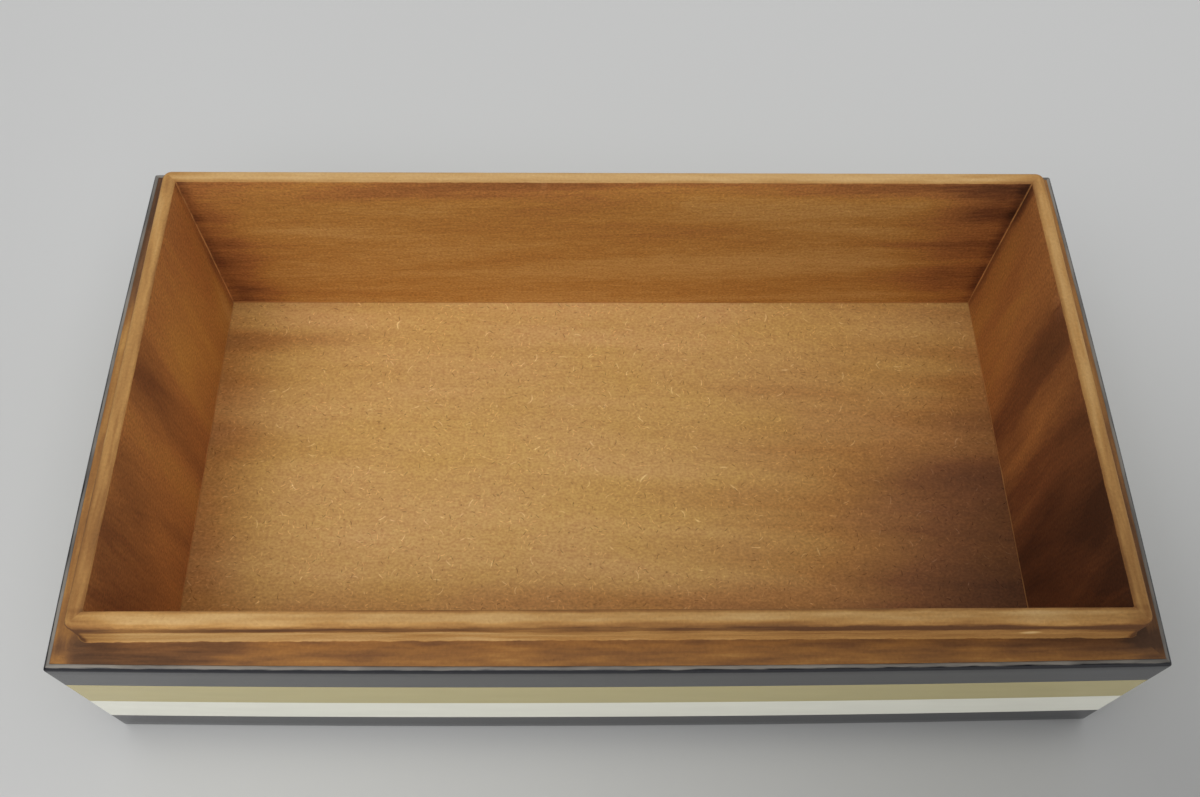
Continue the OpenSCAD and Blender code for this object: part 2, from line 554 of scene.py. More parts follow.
def patches(tree, place, long_mm, wide_mm, least, most, detail=2.0, between=(0.35, 0.6)):
    """A mottle sharpened into patches: it goes from least to most as the noise rises between two values."""
    return add(tree, "MapRange", {"Value": mottle(tree, place, long_mm, wide_mm, detail=detail),
                                  "From Min": between[0], "From Max": between[1],
                                  "To Min": least, "To Max": most})


print("patterns:", [pattern.__name__ for pattern in (mottle, patches)])

# %% [markdown]
# ## Loose fibres
#
# Close up, single fibres lie on the board, 1 to 3 mm long and bent. Drawing each one as
# a curve would take thousands of curves. Instead a scatter of cells gives each fibre a
# middle, a direction, a length and a bend, and the distance to that bent line says
# where the fibre lies. A real fibre is under 0.1 mm wide, too fine to show from here,
# so it is drawn about 0.2 mm wide.

# %% Scatter and fibres
MOST_BEND = 0.35


def scatter(tree, place, gap_mm, seed):
    """Cells gap_mm wide: the way from each cell's middle, and three numbers drawn for the cell."""
    moved = add(tree, "VectorMath", {0: place, 1: (seed, 2 * seed, 0)})
    cell = add(tree, "TexVoronoi", {"Vector": moved, "Scale": 1 / gap_mm}, voronoi_dimensions="2D").node
    away = add(tree, "VectorMath", {0: moved, 1: cell.outputs["Position"]}, operation="SUBTRACT")
    return away, add(tree, "SeparateColor", {"Color": cell.outputs["Color"]}).node.outputs


def bent_line(tree, away, angle, bend):
    """Distances from a bent line through the cell's middle: along it, and across it."""
    turned = add(tree, "VectorRotate", {"Vector": away, "Angle": angle}, rotation_type="Z_AXIS")
    run = add(tree, "SeparateXYZ", {"Vector": turned}).node
    squared = add(tree, "Math", {0: run.outputs[0], 1: 2.0}, operation="POWER")
    bow = add(tree, "Math", {0: squared, 1: bend, 2: run.outputs[1]}, operation="MULTIPLY_ADD")
    across = add(tree, "Math", {0: bow}, operation="ABSOLUTE")
    far = add(tree, "Math", {0: run.outputs[0]}, operation="ABSOLUTE")
    return far, across


def fibres(tree, place, length_mm, width_mm, gap_mm, share, seed):
    """Bent fibres up to length_mm long, in a share of the cells of a scatter."""
    away, drawn = scatter(tree, place, gap_mm, seed)
    angle = add(tree, "Math", {0: drawn[0], 1: 2 * math.pi}, operation="MULTIPLY")
    bend = add(tree, "Math", {0: drawn[1], 1: 2 * MOST_BEND, 2: -MOST_BEND}, operation="MULTIPLY_ADD")
    far, across = bent_line(tree, away, angle, bend)
    reach = add(tree, "MapRange", {"Value": drawn[2], "From Min": 1 - share, "To Max": length_mm / 2})
    beyond = add(tree, "Math", {0: far, 1: reach}, operation="SUBTRACT")
    line = add(tree, "MapRange", {"Value": across, "From Min": 0.1 * width_mm, "From Max": 0.8 * width_mm,
                                  "To Min": 1, "To Max": 0}, interpolation_type="SMOOTHSTEP")
    ends = add(tree, "MapRange", {"Value": beyond, "From Min": -3 * width_mm, "From Max": 0,
                                  "To Min": 1, "To Max": 0}, interpolation_type="SMOOTHSTEP")
    return add(tree, "Math", {0: line, 1: ends}, operation="MULTIPLY")


print("a 2.4 mm fibre bows by up to", round(MOST_BEND * 1.2**2, 2), "mm at its ends")

# %% [markdown]
# ## Specks of bark, and tints
#
# The same scatter gives the dark specks of bark. Fibres and specks are not painted over
# the board: they take up the stain as the board does, only more or less of it. So they
# tint the stained colour, and a pale fibre in a dark corner is still a dark one.

# %% Specks and tints
PALE_FIBRE = (1.35, 1.42, 1.5)
BRIGHT_FIBRE = (1.4, 1.65, 2.1)
DARK_FIBRE = (0.42, 0.36, 0.3)


def specks(tree, place, size_mm, gap_mm, share, seed):
    """Round specks up to size_mm across, in a share of the cells of a scatter."""
    away, drawn = scatter(tree, place, gap_mm, seed)
    apart = add(tree, "VectorMath", {0: away}, out=1, operation="LENGTH")
    radius = add(tree, "MapRange", {"Value": drawn[2], "From Min": 1 - share, "To Max": size_mm / 2})
    beyond = add(tree, "Math", {0: apart, 1: radius}, operation="SUBTRACT")
    return add(tree, "MapRange", {"Value": beyond, "From Min": -0.5 * size_mm, "From Max": 0,
                                  "To Min": 1, "To Max": 0}, interpolation_type="SMOOTHSTEP")


def tinted(tree, body, mask, share, tint):
    """The body colour, multiplied by a tint in a share of the mask."""
    strength = add(tree, "Math", {0: mask, 1: share}, operation="MULTIPLY")
    return add(tree, "Mix", {0: strength, 6: body, 7: (*tint, 1)}, out=2, data_type="RGBA",
               blend_type="MULTIPLY")


print("a pale fibre is", round(PALE_FIBRE[0] / DARK_FIBRE[0], 1), "times as bright as a dark one")

# %% [markdown]
# ## A stain that is sprayed and wiped
#
# The inside of the box is coloured with a brown spirit stain. It was sprayed and then
# wiped by hand, so it is thin in the middle of the floor and leaves long soft streaks.
# The inside is also darker in its corners, along the foot of its walls and towards the
# front right, and that is painted shade. One number, the depth of the stain, tells all
# of that, painted shade included. The streaks come from a mottle. A place where the stain
# or the painted shade is thick or thin is a smudge: a soft patch of a chosen size at a
# chosen spot of the box, with an edge that the streaks pull in and out.

# %% Depth of the stain
STREAK_NOISE = (0.3, 0.7)
SMUDGE_EDGE = (0.15, 1.5)


def box_spot(x, y, z):
    """A spot in millimetres, given as shares of the inside's half length and half width and the height."""
    return (x * inner_half.x / MM, y * inner_half.y / MM, z * rim_z / MM)


def smudge(tree, place, ragged, spot, reach):
    """1 in a soft patch that reaches so far round its spot, and 0 outside it."""
    away = add(tree, "VectorMath", {0: place, 1: spot}, operation="SUBTRACT")
    scaled = add(tree, "VectorMath", {0: away, 1: [1 / r for r in reach]}, operation="MULTIPLY")
    apart = add(tree, "VectorMath", {0: scaled}, out=1, operation="LENGTH")
    edge = add(tree, "Math", {0: apart, 1: ragged})
    return add(tree, "MapRange", {"Value": edge, "From Min": SMUDGE_EDGE[0], "From Max": SMUDGE_EDGE[1],
                                  "To Min": 1, "To Max": 0}, interpolation_type="SMOOTHSTEP")


def stain_and_shade_depth(tree, place, streak, base, streak_depth, smudges, pull=0.5):
    """Depth of the stain, painted shade included, from its streaks and smudges. The streaks pull the
    smudges' edges about.
    """
    depth = add(tree, "MapRange", {"Value": streak, "From Min": STREAK_NOISE[0], "From Max": STREAK_NOISE[1],
                                   "To Min": base - streak_depth, "To Max": base + streak_depth},
                clamp=False)
    ragged = add(tree, "Math", {0: streak, 1: -pull, 2: pull / 2}, operation="MULTIPLY_ADD")
    for spot, reach, added in smudges:
        patch = smudge(tree, place, ragged, spot, reach)
        depth = add(tree, "Math", {0: patch, 1: added, 2: depth}, operation="MULTIPLY_ADD")
    return depth


print("the back right corner of the rim is at", [round(c, 1) for c in box_spot(1, 1, 1)], "mm")

# %% [markdown]
# ## The colour of a depth of stain
#
# A wash of stain over tan board goes from straw through amber to a dark brown as it gets
# thicker, and its hue turns as well as its shade. Two mixed colours would miss that, so
# a ramp with five stops turns the depth into a colour.

# %% Colour of the stain
STAIN_DEPTHS = (0.0, 0.25, 0.45, 0.7, 1.0)


def stain_colour(tree, depth, colours):
    """The colour of a depth of stain, on a ramp from thin to thick."""
    ramp = add(tree, "ValToRGB", {"Fac": depth}).node
    stops = ramp.color_ramp.elements
    while len(stops) < len(colours):
        stops.new(0.5)
    for stop, at, hex_value in zip(stops, STAIN_DEPTHS, colours):
        stop.position = at
        stop.color = colour(hex_value)
    return ramp.outputs["Color"]


print("a ramp has", len(STAIN_DEPTHS), "stops, from no stain to", STAIN_DEPTHS[-1])

# %% [markdown]
# ## Zones of a wall
#
# One board shows three finishes: the stained inner face, the stained shoulder and the
# raw lip. Three materials side by side would meet in a line as sharp as a cut. The
# wall's board map says how far round the section a place lies, so one material can tell
# its zones from the rings and blend them over a fraction of a millimetre.

# %% Zones of a wall
def length_at(depth, z):
    """Length round the wall's section, in millimetres, at its ring nearest to a depth and a level."""
    gaps = [math.hypot(r["depth"] - depth, r["z"] - z) for r in wall_section]
    return wall_lengths[gaps.index(min(gaps))] / MM


SHOULDER_V = length_at(strip_t, shoulder_z)
FOOT_V = length_at(lip_depth - FOOT_R, shoulder_z)
EDGE_V = length_at(lip_depth, rim_z - lip_edge_r)
RIM_V = length_at(inner_depth, rim_z - ARRIS)
BOTTOM_V = length_at(inner_depth, floor_z + ARRIS)


def band_of(tree, value, start, end, soft):
    """1 between start and end, with soft edges."""
    rise = add(tree, "MapRange", {"Value": value, "From Min": start - soft, "From Max": start + soft},
               interpolation_type="SMOOTHSTEP")
    fall = add(tree, "MapRange", {"Value": value, "From Min": end - soft, "From Max": end + soft,
                                  "To Min": 1, "To Max": 0}, interpolation_type="SMOOTHSTEP")
    return add(tree, "Math", {0: rise, 1: fall}, operation="MULTIPLY")


zones = {"shoulder": SHOULDER_V, "foot": FOOT_V, "edge": EDGE_V, "rim": RIM_V, "bottom": BOTTOM_V}
print("zones of a wall, in mm round its section:", {name: round(v, 1) for name, v in zones.items()})

# %% [markdown]
# ## The milled lip
#
# The lip was milled after the staining, so it shows the raw tan board. A router that
# moves slowly scorches what it cuts: here it left a brown line along the upper part of
# the lip's face and darkened the foot of the corners. The arrises of the lip are a little
# darker, most on the front lip. The lip is also darker at its sides than at its back, more
# towards the front and most at the front right, and that is painted shade. Scorch, dark
# arrises and painted shade are a depth of stain too, on a paler ramp.
#
# Each smudge below gives its spot, how far it reaches along x, y and z in millimetres,
# and how much stain or painted shade it adds. One smudge takes stain away, for a fresh chip.

# %% Colour of the milled lip
THIN_TO_THICK_LIP = ("#D9B580", "#CBA269", "#B88A50", "#96693A", "#67442A")
# Painted shade: the side lips, darker towards the front, and the front lip, darker on its right half. The
# others darken the back corners and two thin lines along the front lip, and one is a chip.
LIP_STAIN_AND_SHADE_SMUDGES = (
    (box_spot(-1.02, 0.2, 1), (5, 60, 9), 0.28),
    (box_spot(-1.02, -0.9, 1), (9, 34, 12), 0.34),
    (box_spot(1.02, 0, 1), (5, 90, 9), 0.2),
    (box_spot(1.02, -1, 1), (14, 40, 12), 0.22),
    (box_spot(0.1, -1.05, 1), (112, 4, 5), 0.12),
    (box_spot(0.7, -1.07, 0.9), (105, 4, 6), 0.36),
    (box_spot(-0.7, -1.07, 0.9), (120, 4, 5), 0.12),
    (box_spot(0.81, -1.07, 0.905), (2.4, 3, 0.9), -0.6),
    (box_spot(0, -1, 1), (110, 0.9, 3), 0.36),
    (box_spot(0, -1.062, 0.995), (110, 0.9, 1.3), 0.3),
    (box_spot(1.02, 1.02, 1), (20, 6, 9), 0.2),
    (box_spot(-1.02, 1.02, 1), (14, 6, 9), 0.14),
)
# Bands of the section: start, end and softness in mm round it.
LIP_ARRIS = (RIM_V - 0.8, RIM_V + 2, 0.4)
LIP_SCORCH = (EDGE_V - 2.2, EDGE_V + 0.6, 0.8)
LIP_FACE = (FOOT_V - 2, EDGE_V + 0.4, 0.8)
# How much stain the arris has gained, and the foot of a corner.
ARRIS_STAIN = 0.14
CORNER_STAIN = 0.6


def milled_lip(tree, place, ragged_v, to_mitre):
    """Colour of the lip: bare tan board, a scorched line along its face, dark at the foot of its corners,
    with painted shade.
    """
    streak = mottle(tree, place, 18, 2, detail=3)
    depth = stain_and_shade_depth(tree, box_place(tree), streak, base=0.22, streak_depth=0.1, smudges=LIP_STAIN_AND_SHADE_SMUDGES)
    arris = band_of(tree, ragged_v, *LIP_ARRIS)
    depth = add(tree, "Math", {0: arris, 1: ARRIS_STAIN, 2: depth}, operation="MULTIPLY_ADD")
    scorch = band_of(tree, ragged_v, *LIP_SCORCH)
    uneven = patches(tree, place, 70, 12, least=0.3, most=0.65)
    depth = add(tree, "Math", {0: scorch, 1: uneven, 2: depth}, operation="MULTIPLY_ADD")
    at_corner = add(tree, "MapRange", {"Value": to_mitre, "From Min": 1.0, "From Max": 2.2,
                                       "To Min": CORNER_STAIN, "To Max": 0}, interpolation_type="SMOOTHSTEP")
    on_face = band_of(tree, ragged_v, *LIP_FACE)
    depth = add(tree, "Math", {0: at_corner, 1: on_face, 2: depth}, operation="MULTIPLY_ADD")
    return stain_colour(tree, depth, THIN_TO_THICK_LIP)


print(len(LIP_STAIN_AND_SHADE_SMUDGES), "smudges on the lip; scorched", round(LIP_SCORCH[1] - LIP_SCORCH[0], 1), "mm wide")

# %% [markdown]
# ## The stained shoulder
#
# The router's flat cut left the shoulder fuzzy, and fuzz drinks stain, so it is browner
# than the lip. The stain is thickest at the front corners and at the back of the left side.
# Along the right side, at the front right corner and in the crease at the lip's foot the
# shoulder is darker again, and that is painted shade. Its streaks are short and narrow,
# as fuzz is.

# %% Colour of the stained shoulder
THIN_TO_THICK_SHOULDER = ("#D0A468", "#BE8F4E", "#A1703A", "#7C5431", "#543823")
# Painted shade: the right side and the front right corner. The rest are stain, two of them thinner on the
# left.
SHOULDER_STAIN_AND_SHADE_SMUDGES = (
    (box_spot(-0.97, -1.12, 0.85), (28, 4, 9), 0.38),
    (box_spot(-1.06, -1.14, 0.85), (2.5, 2.5, 9), -0.4),
    (box_spot(0.96, -1.08, 0.85), (30, 3, 9), 0.26),
    (box_spot(1.05, -0.7, 0.85), (5, 48, 9), 0.32),
    (box_spot(-1.05, 0.1, 0.85), (5, 60, 9), -0.14),
    (box_spot(-1.06, 1.0, 0.85), (6, 34, 9), 0.5),
)
# Painted shade in the crease at the lip's foot: the band it covers, and how much it darkens.
SHOULDER_FOOT_SHADE = (FOOT_V - 1.0, FOOT_V + 2, 0.8)
FOOT_PAINTED_SHADE = 0.04


def stained_shoulder(tree, place, ragged_v):
    """Colour of the shoulder: brown and fuzzy, a little darker at the lip's foot, where shade is painted."""
    streak = mottle(tree, place, 16, 1.6, detail=4)
    depth = stain_and_shade_depth(tree, box_place(tree), streak, base=0.53, streak_depth=0.16,
                        smudges=SHOULDER_STAIN_AND_SHADE_SMUDGES)
    foot = band_of(tree, ragged_v, *SHOULDER_FOOT_SHADE)
    depth = add(tree, "Math", {0: foot, 1: FOOT_PAINTED_SHADE, 2: depth}, operation="MULTIPLY_ADD")
    return stain_colour(tree, depth, THIN_TO_THICK_SHOULDER)


print(len(SHOULDER_STAIN_AND_SHADE_SMUDGES), "smudges on the shoulder, which is",
      round(FOOT_V - SHOULDER_V, 1), "mm wide at its corners")

# %% [markdown]
# ## The stained inner face
#
# The rag was drawn along the long walls and up and down the short ones, so the streaks
# run that way. The back wall's corners and both side walls, most the right one and towards
# the front, are darker, and so is the front wall's right half: that is painted shade. The
# walls are also darker just under the rim. Below the streaks the board has a finer grain
# of its own, from the way it was pressed. It takes the stain unevenly, so it is added to
# the stain's depth.

# %% Colour of the inner face
THIN_TO_THICK_WALL = ("#DDAE68", "#C9934C", "#B67B45", "#845333", "#4E3021")
WALL_DEPTH = 0.24
# Painted shade: the back wall's corners, both side walls (most the right one and towards the front) and the
# front wall's right half. The walls are also darker under the rim. Two smudges lighten the back wall low
# down and the left wall's back foot, and two narrow upright ones on the side walls are streaks.
WALL_STAIN_AND_SHADE_SMUDGES = (
    (box_spot(-1.0, 1, 0.1), (14, 3, 46), 0.34),
    (box_spot(0.95, 1, 0.45), (24, 3, 30), 0.26),
    (box_spot(0.97, 1, 0.84), (19, 3, 8), 0.34),
    (box_spot(-0.1, 1, 1), (180, 3, 8), 0.22),
    (box_spot(0.78, 1, 1), (56, 3, 9), 0.22),
    (box_spot(0, 1, 0.3), (120, 3, 16), -0.08),
    (box_spot(1, -0.88, 0.45), (3, 56, 80), 0.52),
    (box_spot(1, 0.24, 0.5), (3, 7, 80), 0.14),
    (box_spot(1, 0, 0.5), (3, 200, 200), 0.17),
    (box_spot(1, 0, 1.1), (3, 90, 30), 0.14),
    (box_spot(-1, -1.1, 0.5), (3, 60, 60), 0.24),
    (box_spot(-1, 0, 0.5), (3, 200, 200), 0.1),
    (box_spot(-1, 0, 1.1), (3, 90, 30), 0.14),
    (box_spot(-1, 0.08, 0.5), (3, 7, 80), 0.12),
    (box_spot(-1, 0.95, 0.12), (3, 11, 14), -0.2),
    (box_spot(0.4, -1, 0.5), (90, 3, 40), 0.15),
)


def stained_face(tree, place, grain, grain_depth, long_mm, wide_mm, tilt, streak_depth):
    """Colour of the inner face: streaks of stain and painted shade over the grain of the board."""
    streak = mottle(tree, place, long_mm, wide_mm, detail=2.5, tilt=tilt, wave=0.4)
    base = WALL_DEPTH - grain_depth / 2
    depth = stain_and_shade_depth(tree, box_place(tree), streak, base, streak_depth, WALL_STAIN_AND_SHADE_SMUDGES)
    depth = add(tree, "Math", {0: grain, 1: grain_depth, 2: depth}, operation="MULTIPLY_ADD")
    return stain_colour(tree, depth, THIN_TO_THICK_WALL)


print(len(WALL_STAIN_AND_SHADE_SMUDGES), "smudges on the inner faces of the walls")

# %% [markdown]
# ## Where the zones meet, and the glue line
#
# The lip and the shoulder are laid over the inner face's colour, zone by zone, with a
# slightly ragged edge. Up each mitre and along the floor a little glue was squeezed
# out. It sealed the board before the stain came, so it left a thin pale line, broken
# where the glue was wiped off. A strip of mesh could stand for it, but a quarter of a
# millimetre is only a change of colour.

# %% Zones and glue line
ZONE_SOFT = 0.15
ON_SHOULDER = (SHOULDER_V - 1, FOOT_V + 0.2, ZONE_SOFT)
ON_LIP = (FOOT_V + 0.2, RIM_V + 0.1, ZONE_SOFT)
ON_INNER_FACE = (RIM_V + 0.1, BOTTOM_V + 9, ZONE_SOFT)
ALONG_FLOOR = (BOTTOM_V - 0.6, BOTTOM_V + 9, ZONE_SOFT)


def with_shoulder_and_lip(tree, place, ragged_v, to_mitre, bare, inside):
    """The inner face's colour, with the shoulder's and the lip's laid over it in their zones."""
    on_shoulder = band_of(tree, ragged_v, *ON_SHOULDER)
    shoulder = stained_shoulder(tree, place, ragged_v)
    stained = add(tree, "Mix", {0: on_shoulder, 6: inside, 7: shoulder}, out=2, data_type="RGBA")
    lip = milled_lip(tree, place, ragged_v, to_mitre)
    return add(tree, "Mix", {0: bare, 6: stained, 7: lip}, out=2, data_type="RGBA")


def glue_line(tree, place, ragged_v, to_mitre, inner):
    """How much of the glue line shows: up the mitres, and along the floor."""
    seam = add(tree, "MapRange", {"Value": to_mitre, "From Min": 0.1, "From Max": 0.26,
                                  "To Min": 1, "To Max": 0})
    seam = add(tree, "Math", {0: seam, 1: inner}, operation="MULTIPLY")
    broken = patches(tree, place, 9, 7, least=0.25, most=1)
    seam = add(tree, "Math", {0: seam, 1: broken}, operation="MULTIPLY")
    foot_line = band_of(tree, ragged_v, *ALONG_FLOOR)
    uneven = patches(tree, place, 30, 30, least=0.1, most=0.7)
    foot_line = add(tree, "Math", {0: foot_line, 1: uneven}, operation="MULTIPLY")
    return add(tree, "Math", {0: seam, 1: foot_line}, operation="MAXIMUM")


print("the inner face runs over", round(BOTTOM_V - RIM_V, 1), "mm of the section")

# %% [markdown]
# ## Stained fibreboard for the walls
#
# Medium-density fibreboard, milled, then stained. Board and stain are dull: a roughness
# of 0.6 to 0.85, with no clear coat and little gloss. Fine specks and loose fibres lie
# over everything, strongest on the inner face, and the same specks raise the surface by
# hundredths of a millimetre. The long and the short walls are one material with other
# streaks.

# %% Material: stained fibreboard
GLUE = "#E0AA6C"
STAINED_ROUGHNESS = 0.6
RAW_ROUGHNESS = 0.85
BOARD_GLOSS = 0.25
BOARD_RELIEF = {"Distance": 0.02 * MM, "Strength": 0.6}
# Fibres: length, width and gap in mm, the share of the cells that hold one, and a seed.
WALL_PALE = (2.4, 0.2, 2.0, 0.5, 11.0)
WALL_DARK = (1.8, 0.2, 3.0, 0.4, 47.0)


def specked_wall(tree, place, body, speck, contrast):
    """The wall's colour with fine specks and with pale and dark fibres."""
    body = add(tree, "Mix", {0: contrast, 6: body, 7: speck}, out=2, data_type="RGBA", blend_type="OVERLAY")
    body = tinted(tree, body, fibres(tree, place, *WALL_PALE), contrast, PALE_FIBRE)
    return tinted(tree, body, fibres(tree, place, *WALL_DARK), contrast, DARK_FIBRE)


def stained_fibreboard(name, long_mm, wide_mm, tilt, streak_depth, grain_depth):
    """Stained board with a raw lip. Its streaks are long_mm by wide_mm, tilted by tilt degrees."""
    material, tree, surface = new_material(name)
    place = board_place(tree)
    round_section = add(tree, "SeparateXYZ", {"Vector": place}, out=1)
    to_mitre = add(tree, "Attribute", attribute_name="mitre", out=2)
    ragged = add(tree, "Math", {0: mottle(tree, place, 4, 1.2), 1: 1.0, 2: -0.5}, operation="MULTIPLY_ADD")
    ragged_v = add(tree, "Math", {0: round_section, 1: ragged})
    bare = band_of(tree, ragged_v, *ON_LIP)
    inner = band_of(tree, ragged_v, *ON_INNER_FACE)

    grain = mottle(tree, place, 7, 0.9, detail=4, tilt=tilt, wave=0.3)
    body = stained_face(tree, place, grain, grain_depth, long_mm, wide_mm, tilt, streak_depth)
    body = with_shoulder_and_lip(tree, place, ragged_v, to_mitre, bare, body)
    speck = mottle(tree, place, 0.8, 0.7, detail=3)
    contrast = add(tree, "MapRange", {"Value": inner, "To Min": 0.22, "To Max": 0.6})
    body = specked_wall(tree, place, body, speck, contrast)
    glue = glue_line(tree, place, ragged_v, to_mitre, inner)
    body = add(tree, "Mix", {0: glue, 6: body, 7: colour(GLUE)}, out=2, data_type="RGBA")
    tree.links.new(body, surface.inputs["Base Color"])

    rough = add(tree, "MapRange", {"Value": bare, "To Min": STAINED_ROUGHNESS, "To Max": RAW_ROUGHNESS})
    tree.links.new(rough, surface.inputs["Roughness"])
    surface.inputs["Specular IOR Level"].default_value = BOARD_GLOSS
    bump = add(tree, "Bump", {"Height": add(tree, "Math", {0: speck, 1: grain}), **BOARD_RELIEF})
    tree.links.new(bump, surface.inputs["Normal"])
    return material


wall_boards = {
    "front": stained_fibreboard("stained_fibreboard_long", long_mm=90, wide_mm=9, tilt=2,
                                streak_depth=0.15, grain_depth=0.42),
    "right": stained_fibreboard("stained_fibreboard_short", long_mm=80, wide_mm=13, tilt=88,
                                streak_depth=0.1, grain_depth=0.2),
}
wall_boards["back"], wall_boards["left"] = wall_boards["front"], wall_boards["right"]
print("wall boards:", {side: board.name for side, board in wall_boards.items()})

# %% [markdown]
# ## The floor's wash of stain
#
# The floor is a thin sheet of the same board with a thinner wash of the same stain,
# wiped along its length. The wash is thin in the middle. Along the left and the front wall,
# near the right wall and most of all in the right front corner the floor is darker, which
# is painted shade with some thicker stain in that corner, and along the back wall it is
# lighter, which is painted light. Here and there the board itself is a little yellower.

# %% Colour of the floor's wash
THIN_TO_THICK_FLOOR = ("#DEB276", "#CCA060", "#B48048", "#8A5A36", "#5A3826")
YELLOWER = (0.99, 1.0, 0.88)
# Painted shade: along the left wall, along the front wall, near the right wall and in the right front
# corner; the edge at the back wall is painted light. The thin streaks at the back left and right of the
# middle are stain.
FLOOR_STAIN_AND_SHADE_SMUDGES = (
    (box_spot(-1.05, 0, 0), (22, 95, 9), 0.32),
    (box_spot(-0.86, 0.76, 0), (30, 4.5, 9), 0.2),
    (box_spot(-0.1, 1, 0), (110, 22, 9), -0.1),
    (box_spot(0.75, -0.2, 0), (60, 72, 9), 0.27),
    (box_spot(1.1, -0.7, 0), (53, 60, 9), 0.55),
    (box_spot(0.84, -0.03, 0), (34, 4, 9), 0.16),
    (box_spot(1.08, 0.35, 0), (24, 38, 9), 0.13),
    (box_spot(0, -0.8, 0), (150, 14, 9), 0.32),
)


def washed_floor(tree, place, flat):
    """Colour of the floor's thin wash of stain, with painted shade and painted light."""
    streak = mottle(tree, flat, 110, 11, detail=2.5, tilt=-3, wave=0.2)
    depth = stain_and_shade_depth(tree, place, streak, base=0.2, streak_depth=0.08, smudges=FLOOR_STAIN_AND_SHADE_SMUDGES, pull=0.12)
    body = stain_colour(tree, depth, THIN_TO_THICK_FLOOR)
    yellow = patches(tree, flat, 45, 22, least=0, most=1, detail=4, between=(0.4, 0.6))
    return tinted(tree, body, yellow, 1.0, YELLOWER)


print(len(FLOOR_STAIN_AND_SHADE_SMUDGES), "smudges on the floor")

# %% [markdown]
# ## Washed fibreboard for the floor panel
#
# Under a thin wash the fibres and specks show best. Pale fibres lie in crowds, between
# dark ones and specks of bark, and a few bright ones are longer than the rest. The
# panel's CAD solid already has the right shape, so it keeps it, and only its material
# slot is filled. It has no board map, so the pattern is read from its place on the box.

# %% Material: washed fibreboard
FLOOR_ROUGHNESS = 0.65
# How strongly the fine specks and the clumps of fibre show.
SPECK_CONTRAST = 0.5
CLUMP_CONTRAST = 0.22
# Fibres: length, width and gap in mm, the share of the cells that hold one, and a seed.
FLOOR_PALE = (2.4, 0.22, 1.6, 0.6, 5.0)
FLOOR_DARK = (2.2, 0.22, 2.8, 0.5, 31.0)
FLOOR_BRIGHT = (3.4, 0.26, 4.6, 0.45, 61.0)
FLOOR_LONG = (4.2, 0.4, 21, 0.5, 7.0)
# Specks: size and gap in mm, the share of the cells that hold one, and a seed.
FINE_BARK = (0.75, 2.8, 0.4, 83.0)
COARSE_BARK = (1.2, 17, 0.5, 19.0)


def fibres_and_bark(tree, flat, body):
    """The floor's colour with its fibres and its specks of bark."""
    crowd = patches(tree, flat, 8, 6, least=0.2, most=1.3, detail=3, between=(0.38, 0.62))
    body = tinted(tree, body, fibres(tree, flat, *FLOOR_PALE), crowd, PALE_FIBRE)
    body = tinted(tree, body, fibres(tree, flat, *FLOOR_DARK), 0.85, DARK_FIBRE)
    body = tinted(tree, body, specks(tree, flat, *FINE_BARK), 0.95, DARK_FIBRE)
    body = tinted(tree, body, specks(tree, flat, *COARSE_BARK), 0.95, DARK_FIBRE)
    body = tinted(tree, body, fibres(tree, flat, *FLOOR_BRIGHT), crowd, BRIGHT_FIBRE)
    return tinted(tree, body, fibres(tree, flat, *FLOOR_LONG), 1.0, BRIGHT_FIBRE)


def washed_fibreboard():
    """Thinly stained board whose pattern lies flat on the floor."""
    material, tree, surface = new_material("washed_fibreboard")
    place = box_place(tree)
    flat = add(tree, "VectorMath", {0: place, 1: (1, 1, 0)}, operation="MULTIPLY")
    body = washed_floor(tree, place, flat)
    speck = mottle(tree, flat, 0.9, 0.7, detail=3)
    clump = mottle(tree, flat, 3.6, 2.0, detail=3)
    body = add(tree, "Mix", {0: SPECK_CONTRAST, 6: body, 7: speck}, out=2, data_type="RGBA",
               blend_type="OVERLAY")
    body = add(tree, "Mix", {0: CLUMP_CONTRAST, 6: body, 7: clump}, out=2, data_type="RGBA",
               blend_type="OVERLAY")
    body = fibres_and_bark(tree, flat, body)
    tree.links.new(body, surface.inputs["Base Color"])
    surface.inputs["Roughness"].default_value = FLOOR_ROUGHNESS
    surface.inputs["Specular IOR Level"].default_value = BOARD_GLOSS
    tree.links.new(add(tree, "Bump", {"Height": speck, **BOARD_RELIEF}), surface.inputs["Normal"])
    return material


floor_material = washed_fibreboard()
floor_node = frame["nodes"]["floor_panel"]
floor_node.data.materials.clear()
floor_node.data.materials.append(floor_material)
print("the floor panel wears", floor_material.name)

# %% [markdown]
# ## Cast resin for the strips
#
# Polyester resin, coloured in the mass, cast in sheet, sawn into strips, sanded and
# polished. Its IOR is 1.5, so it mirrors the table when it is seen at a low angle, and
# black looks grey there. Its colour is slightly cloudy and its polish uneven. The gold
# strip holds a fine metal powder.
#
# The sander that made the top of the black strip flush with the shoulder ground away
# its polish there. A ground edge is rough, and resin dust in its scratches makes it
# grey. The board map says where that edge lies.

# %% Cast resin
RESIN_IOR = 1.5
GROUND_RESIN = "#8C867D"
GROUND_ROUGHNESS = 0.75


def ground_edge(tree, place, start, end):
    """How much dust a ground edge holds, between two places round the section in mm."""
    ragged = add(tree, "Math", {0: mottle(tree, place, 6, 0.9, detail=3), 1: 0.8, 2: -0.4},
                 operation="MULTIPLY_ADD")
    round_section = add(tree, "SeparateXYZ", {"Vector": place}, out=1)
    ragged_v = add(tree, "Math", {0: round_section, 1: ragged})
    ground = band_of(tree, ragged_v, start, end, 0.2)
    dust = patches(tree, place, 14, 3, least=0.35, most=1, detail=3, between=(0.3, 0.6))
    return add(tree, "Math", {0: ground, 1: dust}, operation="MULTIPLY")


